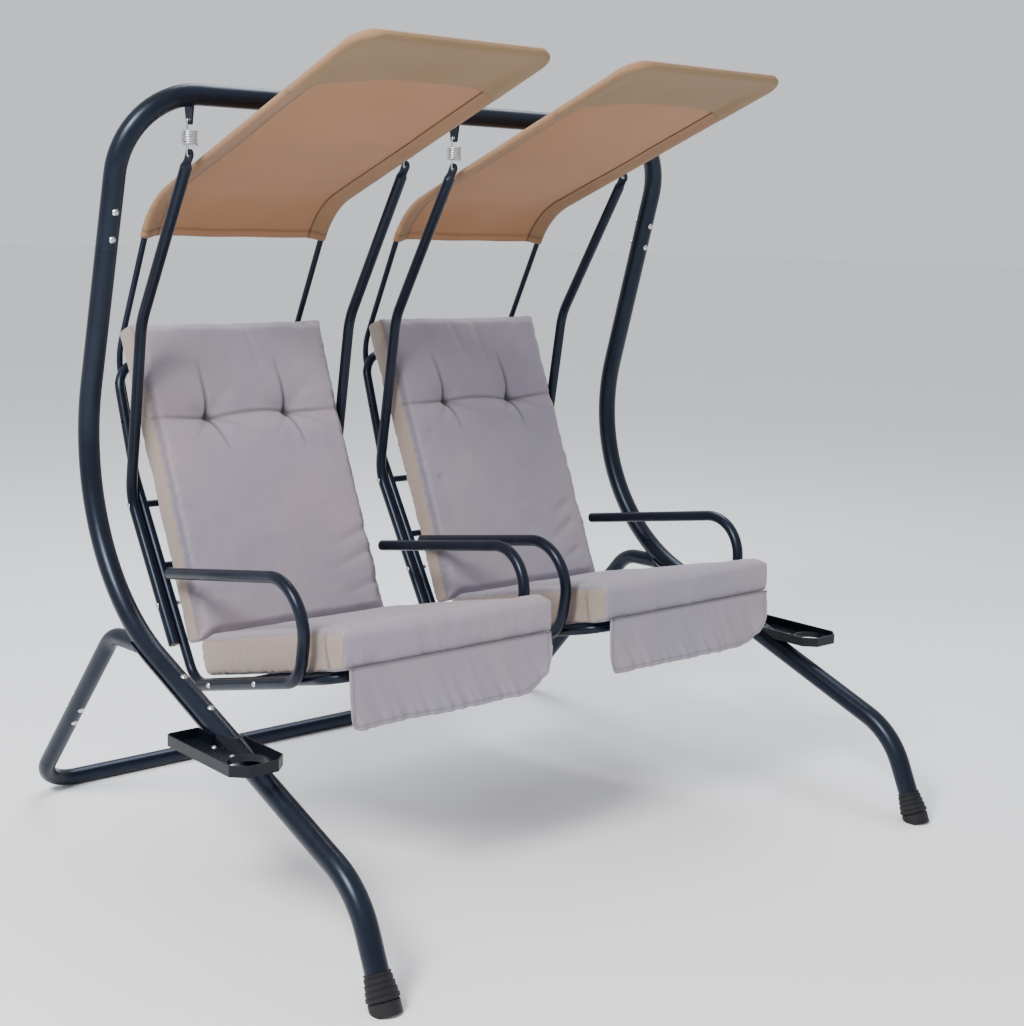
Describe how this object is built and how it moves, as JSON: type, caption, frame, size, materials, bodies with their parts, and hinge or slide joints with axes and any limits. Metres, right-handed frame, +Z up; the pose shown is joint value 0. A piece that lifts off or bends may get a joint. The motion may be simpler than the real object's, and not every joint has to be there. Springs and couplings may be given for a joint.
{
  "type": "glider swing",
  "caption": "Free-standing garden swing: a bent-tube stand with side trays carries a pair of padded chairs, each hung from springs with its own armrests and cloth roof.",
  "frame": {"origin": "on the ground under the middle of the whole object", "axes": "+Z up, the chairs face -Y, +X to the right of someone looking at their fronts"},
  "size_m": [1.728, 1.4316, 1.6901],
  "materials": {
    "powder_coat": "semi-gloss",
    "zinc": "satin",
    "foot_rubber": "matt",
    "tray_plastic": "semi-gloss",
    "plug_plastic": "satin",
    "cushion_fabric": "matt woven",
    "canopy_fabric": "matt woven"
  },
  "bodies": {
    "frame": {"floor_joint_bolts": "zinc", "floor_joint_nuts": "zinc", "left_foot_cap": "foot_rubber", "left_post": "powder_coat", "left_rear_leg": "powder_coat", "left_spring_brackets": "powder_coat", "left_tray": "tray_plastic", "left_tray_bracket": "powder_coat", "left_tray_screws": "zinc", "rear_floor_bar": "powder_coat", "rear_leg_bolts": "zinc", "rear_leg_nuts": "zinc", "right_foot_cap": "foot_rubber", "right_post": "powder_coat", "right_rear_leg": "powder_coat", "right_spring_brackets": "powder_coat", "right_tray": "tray_plastic", "right_tray_bracket": "powder_coat", "right_tray_screws": "zinc", "top_bar": "powder_coat", "top_joint_bolts": "zinc", "top_joint_nuts": "zinc"},
    "left_springs": {"left_chair_springs": "zinc"},
    "right_springs": {"right_chair_springs": "zinc"},
    "left_chair": {"left_chair_back_cushion": "cushion_fabric", "left_chair_back_frame": "powder_coat", "left_chair_bolts": "zinc", "left_chair_canopy_bolts": "zinc", "left_chair_canopy_cover": "canopy_fabric", "left_chair_canopy_frame": "powder_coat", "left_chair_front_flap": "cushion_fabric", "left_chair_left_arm": "powder_coat", "left_chair_left_hanger": "powder_coat", "left_chair_nuts": "zinc", "left_chair_right_arm": "powder_coat", "left_chair_right_hanger": "powder_coat", "left_chair_seat_cushion": "cushion_fabric", "left_chair_seat_frame": "powder_coat", "left_chair_tube_plugs": "plug_plastic"},
    "right_chair": {"right_chair_back_cushion": "cushion_fabric", "right_chair_back_frame": "powder_coat", "right_chair_bolts": "zinc", "right_chair_canopy_bolts": "zinc", "right_chair_canopy_cover": "canopy_fabric", "right_chair_canopy_frame": "powder_coat", "right_chair_front_flap": "cushion_fabric", "right_chair_left_arm": "powder_coat", "right_chair_left_hanger": "powder_coat", "right_chair_nuts": "zinc", "right_chair_right_arm": "powder_coat", "right_chair_right_hanger": "powder_coat", "right_chair_seat_cushion": "cushion_fabric", "right_chair_seat_frame": "powder_coat", "right_chair_tube_plugs": "plug_plastic"}
  },
  "joints": [
    {"name": "left_chair_swing", "type": "hinge", "parent": "frame", "child": "left_springs", "pos_m": [-0.344, 0.214, 1.537], "axis": [1, 0, 0], "range_deg": [-20, 20]},
    {"name": "left_chair_bounce", "type": "slide", "parent": "left_springs", "child": "left_chair", "axis": [0, 0, 1], "range_m": [-0.03, 0], "stiffness_N_per_m": 26000, "springref_m": 0.01, "deforming": ["left_chair_springs"]},
    {"name": "right_chair_swing", "type": "hinge", "parent": "frame", "child": "right_springs", "pos_m": [0.344, 0.214, 1.537], "axis": [1, 0, 0], "range_deg": [-20, 20]},
    {"name": "right_chair_bounce", "type": "slide", "parent": "right_springs", "child": "right_chair", "axis": [0, 0, 1], "range_m": [-0.03, 0], "stiffness_N_per_m": 26000, "springref_m": 0.01, "deforming": ["right_chair_springs"]}
  ]
}
